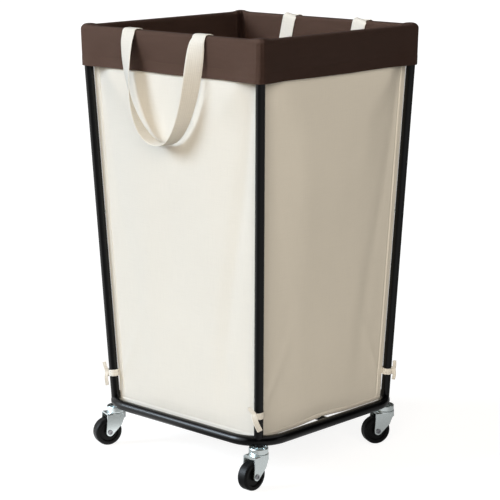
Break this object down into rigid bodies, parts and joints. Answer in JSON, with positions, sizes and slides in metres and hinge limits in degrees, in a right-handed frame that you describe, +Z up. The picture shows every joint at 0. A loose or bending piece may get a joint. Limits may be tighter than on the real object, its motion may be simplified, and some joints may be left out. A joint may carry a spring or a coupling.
{
  "type": "laundry hamper on wheels",
  "caption": "Square canvas laundry bag with a folded cuff and two webbing handles, hung in a black tube frame that rolls on swivel casters.",
  "frame": {"origin": "on the floor, under the middle of the frame and of the rim", "axes": "+Z up, -Y the front with one handle, +X the right side, which has no handle"},
  "size_m": [0.4376, 0.4544, 0.7658],
  "materials": {
    "black_paint": "glossy black baked enamel",
    "zinc": "bright zinc plate",
    "spring_steel": "plain spring steel",
    "black_plastic": "moulded black plastic",
    "wheel": "solid black polyolefin with a soft sheen",
    "canvas": "natural cotton canvas",
    "cuff_cloth": "dark brown canvas",
    "webbing": "woven cotton webbing",
    "tape": "twill cotton tape"
  },
  "bodies": {
    "frame": {"bottom_rail": "black_paint", "cross_bar": "black_paint", "stem_sockets": "black_paint", "lower_leg_front_left": "black_paint", "lower_leg_front_right": "black_paint", "lower_leg_back_right": "black_paint", "lower_leg_back_left": "black_paint", "upper_leg_front_left": "black_paint", "upper_leg_front_right": "black_paint", "upper_leg_back_right": "black_paint", "upper_leg_back_left": "black_paint", "leg_caps": "black_plastic", "top_rail_front": "black_paint", "top_rail_right": "black_paint", "top_rail_back": "black_paint", "top_rail_left": "black_paint", "button_springs": "spring_steel", "bearing_balls": "zinc", "caster_stem_front_left": "zinc", "caster_stem_front_right": "zinc", "caster_stem_back_right": "zinc", "caster_stem_back_left": "zinc", "raceway_cup_front_left": "zinc", "raceway_cup_front_right": "zinc", "raceway_cup_back_right": "zinc", "raceway_cup_back_left": "zinc", "bag_front": "canvas", "bag_right": "canvas", "bag_back": "canvas", "bag_left": "canvas", "bag_floor": "canvas", "cuff_front": "cuff_cloth", "cuff_right": "cuff_cloth", "cuff_back": "cuff_cloth", "cuff_left": "cuff_cloth", "handle_ends_front": "webbing", "handle_ends_back": "webbing", "leg_tie_front_left": "tape", "leg_tie_front_right": "tape", "leg_tie_back_right": "tape", "leg_tie_back_left": "tape"},
    "fork_front_left": {"caster_fork_front_left": "zinc", "caster_axle_front_left": "zinc"},
    "wheel_front_left": {"caster_wheel_front_left": "wheel"},
    "fork_front_right": {"caster_fork_front_right": "zinc", "caster_axle_front_right": "zinc"},
    "wheel_front_right": {"caster_wheel_front_right": "wheel"},
    "fork_back_right": {"caster_fork_back_right": "zinc", "caster_axle_back_right": "zinc"},
    "wheel_back_right": {"caster_wheel_back_right": "wheel"},
    "fork_back_left": {"caster_fork_back_left": "zinc", "caster_axle_back_left": "zinc"},
    "wheel_back_left": {"caster_wheel_back_left": "wheel"},
    "button_front_left": {"snap_button_front_left": "zinc"},
    "button_front_right": {"snap_button_front_right": "zinc"},
    "button_back_right": {"snap_button_back_right": "zinc"},
    "button_back_left": {"snap_button_back_left": "zinc"},
    "handle_front": {"handle_loop_front": "webbing"},
    "handle_back": {"handle_loop_back": "webbing"}
  },
  "joints": [
    {"name": "swivel_front_left", "type": "hinge", "parent": "frame", "child": "fork_front_left", "pos_m": [-0.17793, -0.16943, 0.0605], "axis": [0, 0, 1], "continuous": true},
    {"name": "roll_front_left", "type": "hinge", "parent": "fork_front_left", "child": "wheel_front_left", "pos_m": [-0.18408, -0.18634, 0.0254], "axis": [0.9397, -0.342, 0], "continuous": true},
    {"name": "swivel_front_right", "type": "hinge", "parent": "frame", "child": "fork_front_right", "pos_m": [0.17793, -0.16943, 0.0605], "axis": [0, 0, 1], "continuous": true},
    {"name": "roll_front_right", "type": "hinge", "parent": "fork_front_right", "child": "wheel_front_right", "pos_m": [0.17793, -0.18743, 0.0254], "axis": [1, 0, 0], "continuous": true},
    {"name": "swivel_back_right", "type": "hinge", "parent": "frame", "child": "fork_back_right", "pos_m": [0.17793, 0.16943, 0.0605], "axis": [0, 0, 1], "continuous": true},
    {"name": "roll_back_right", "type": "hinge", "parent": "fork_back_right", "child": "wheel_back_right", "pos_m": [0.16975, 0.15339, 0.0254], "axis": [0.891, -0.454, 0], "continuous": true},
    {"name": "swivel_back_left", "type": "hinge", "parent": "frame", "child": "fork_back_left", "pos_m": [-0.17793, 0.16943, 0.0605], "axis": [0, 0, 1], "continuous": true},
    {"name": "roll_back_left", "type": "hinge", "parent": "fork_back_left", "child": "wheel_back_left", "pos_m": [-0.18228, 0.15196, 0.0254], "axis": [0.9703, -0.2419, 0], "continuous": true},
    {"name": "press_front_left", "type": "slide", "parent": "frame", "child": "button_front_left", "axis": [-0.7473, -0.6617, -0.0605], "range_m": [0, 0.0028], "stiffness_N_per_m": 1200},
    {"name": "press_front_right", "type": "slide", "parent": "frame", "child": "button_front_right", "axis": [0.7473, -0.6617, -0.0605], "range_m": [0, 0.0028], "stiffness_N_per_m": 1200},
    {"name": "press_back_right", "type": "slide", "parent": "frame", "child": "button_back_right", "axis": [0.7473, 0.6617, -0.0605], "range_m": [0, 0.0028], "stiffness_N_per_m": 1200},
    {"name": "press_back_left", "type": "slide", "parent": "frame", "child": "button_back_left", "axis": [-0.7473, 0.6617, -0.0605], "range_m": [0, 0.0028], "stiffness_N_per_m": 1200},
    {"name": "lift_handle_front", "type": "hinge", "parent": "frame", "child": "handle_front", "pos_m": [0, -0.20814, 0.7645], "axis": [-1, 0, 0], "range_deg": [0, 175]},
    {"name": "lift_handle_back", "type": "hinge", "parent": "frame", "child": "handle_back", "pos_m": [0, 0.20814, 0.7645], "axis": [1, 0, 0], "range_deg": [0, 175]}
  ]
}
